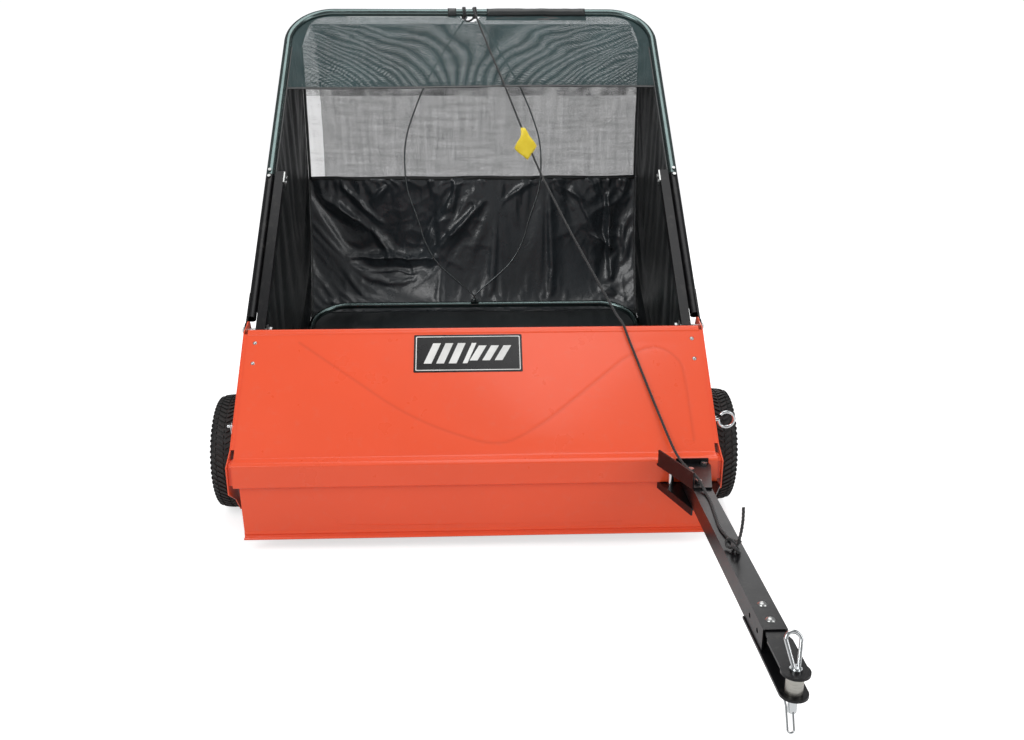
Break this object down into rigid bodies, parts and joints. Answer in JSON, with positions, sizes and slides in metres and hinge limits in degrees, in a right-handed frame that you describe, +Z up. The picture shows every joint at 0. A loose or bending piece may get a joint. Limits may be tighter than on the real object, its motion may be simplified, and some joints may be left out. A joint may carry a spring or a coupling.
{
  "type": "lawn sweeper",
  "caption": "Tow-behind lawn sweeper with a geared brush housing on two wheels, an offset drawbar with pin clevis, and a tilting hopper of vinyl and mesh on a tube frame",
  "frame": {"origin": "ground level on the mid-plane, halfway between the drawbar tip and the back of the hopper", "axes": "-Y points towards the tractor, +Y to the hopper, +X to the right of a person facing the housing from the drawbar side, +Z up"},
  "size_m": [1.368, 2.24, 1.3203],
  "materials": {
    "orange_paint": "glossy powder coat",
    "black_paint": "satin black paint",
    "black_gloss": "glossy black paint",
    "zinc_bolts": "zinc plated",
    "zinc_spacers": "dull zinc plated",
    "bright_steel": "bright plated",
    "gear_steel": "sintered steel",
    "galvanised": "galvanised tube",
    "dark_rod": "dark spring wire",
    "black_plastic": "moulded",
    "wheel_plastic": "moulded",
    "bush_plastic": "nylon",
    "tyre_rubber": "semi-pneumatic rubber",
    "bristle": "polypropylene bristle",
    "badge": "vinyl decal plate",
    "black_vinyl": "glossy coated vinyl",
    "mesh_fabric": "open woven mesh",
    "black_rope": "twisted cord",
    "yellow_tag": "vinyl tag"
  },
  "bodies": {
    "root": {"housing_cover": "orange_paint", "front_apron": "orange_paint", "nose_channel": "black_paint", "side_plate_left": "orange_paint", "side_plate_right": "orange_paint", "cross_brace": "black_paint", "badge_plate": "badge", "housing_bolts": "zinc_bolts", "axles": "zinc_bolts", "axle_nuts": "zinc_bolts", "brush_bearings": "black_plastic", "dust_covers": "black_paint", "pivot_bolts": "zinc_bolts", "hitch_plate_upper": "black_gloss", "hitch_plate_lower": "black_gloss", "hitch_spacers": "zinc_bolts", "hitch_bolts": "zinc_bolts", "hitch_locating_pin": "bright_steel", "drawbar_tube": "black_gloss", "clevis_strap_upper": "black_gloss", "clevis_strap_lower": "black_gloss", "clevis_bolts": "zinc_bolts", "clevis_spacers": "zinc_spacers"},
    "tow_pin_body": {"tow_pin": "bright_steel", "tow_pin_clip": "bright_steel"},
    "adjuster": {"adjuster_rod": "bright_steel", "adjuster_clips": "bright_steel"},
    "wheel_left_body": {"wheel_left": "wheel_plastic", "tyre_left": "tyre_rubber", "bush_left": "bush_plastic", "hub_cap_left": "black_plastic"},
    "wheel_right_body": {"wheel_right": "wheel_plastic", "tyre_right": "tyre_rubber", "bush_right": "bush_plastic", "hub_cap_right": "black_plastic"},
    "brush": {"brush_shaft": "zinc_bolts", "brush_hubs": "black_paint", "brush_strip_holders": "galvanised", "brush_bristles": "bristle", "pinions": "gear_steel", "pinion_pins": "bright_steel"},
    "hopper": {"top_tube": "galvanised", "side_tube_left": "black_gloss", "side_tube_right": "black_gloss", "square_arm_left": "black_gloss", "square_arm_right": "black_gloss", "lower_frame_tube": "galvanised", "lower_frame_brackets": "black_paint", "arm_brackets": "zinc_bolts", "frame_bolts": "zinc_bolts", "bow_rods": "dark_rod", "bow_rod_clip": "galvanised", "bag_side_left": "black_vinyl", "bag_side_right": "black_vinyl", "bag_rear_vinyl": "black_vinyl", "bag_rear_mesh": "mesh_fabric", "bag_top_mesh": "mesh_fabric", "bag_floor": "black_vinyl", "dump_rope": "black_rope", "rope_tag": "yellow_tag"}
  },
  "joints": [
    {"name": "hopper_dump", "type": "hinge", "parent": "root", "child": "hopper", "pos_m": [0, 0.095, 0.478], "axis": [1, 0, 0], "range_deg": [0, 75], "deforming": ["dump_rope"]},
    {"name": "wheel_left_spin", "type": "hinge", "parent": "root", "child": "wheel_left_body", "pos_m": [-0.6465, 0.055, 0.1524], "axis": [1, 0, 0], "continuous": true},
    {"name": "wheel_right_spin", "type": "hinge", "parent": "root", "child": "wheel_right_body", "pos_m": [0.6465, 0.055, 0.1524], "axis": [1, 0, 0], "continuous": true},
    {"name": "brush_spin", "type": "hinge", "parent": "root", "child": "brush", "pos_m": [0, -0.0245, 0.14347], "axis": [1, 0, 0], "continuous": true},
    {"name": "tow_pin_lift", "type": "slide", "parent": "root", "child": "tow_pin_body", "axis": [0, 0, 1], "range_m": [0, 0.006]},
    {"name": "adjuster_rod_turn", "type": "hinge", "parent": "root", "child": "adjuster", "pos_m": [0, -0.135, 0.295], "axis": [1, 0, 0], "range_deg": [-90, 90]}
  ],
  "couplings": [
    {"joint": "wheel_right_spin", "follows": "wheel_left_spin", "ratio": 1},
    {"joint": "brush_spin", "follows": "wheel_left_spin", "ratio": 5}
  ]
}
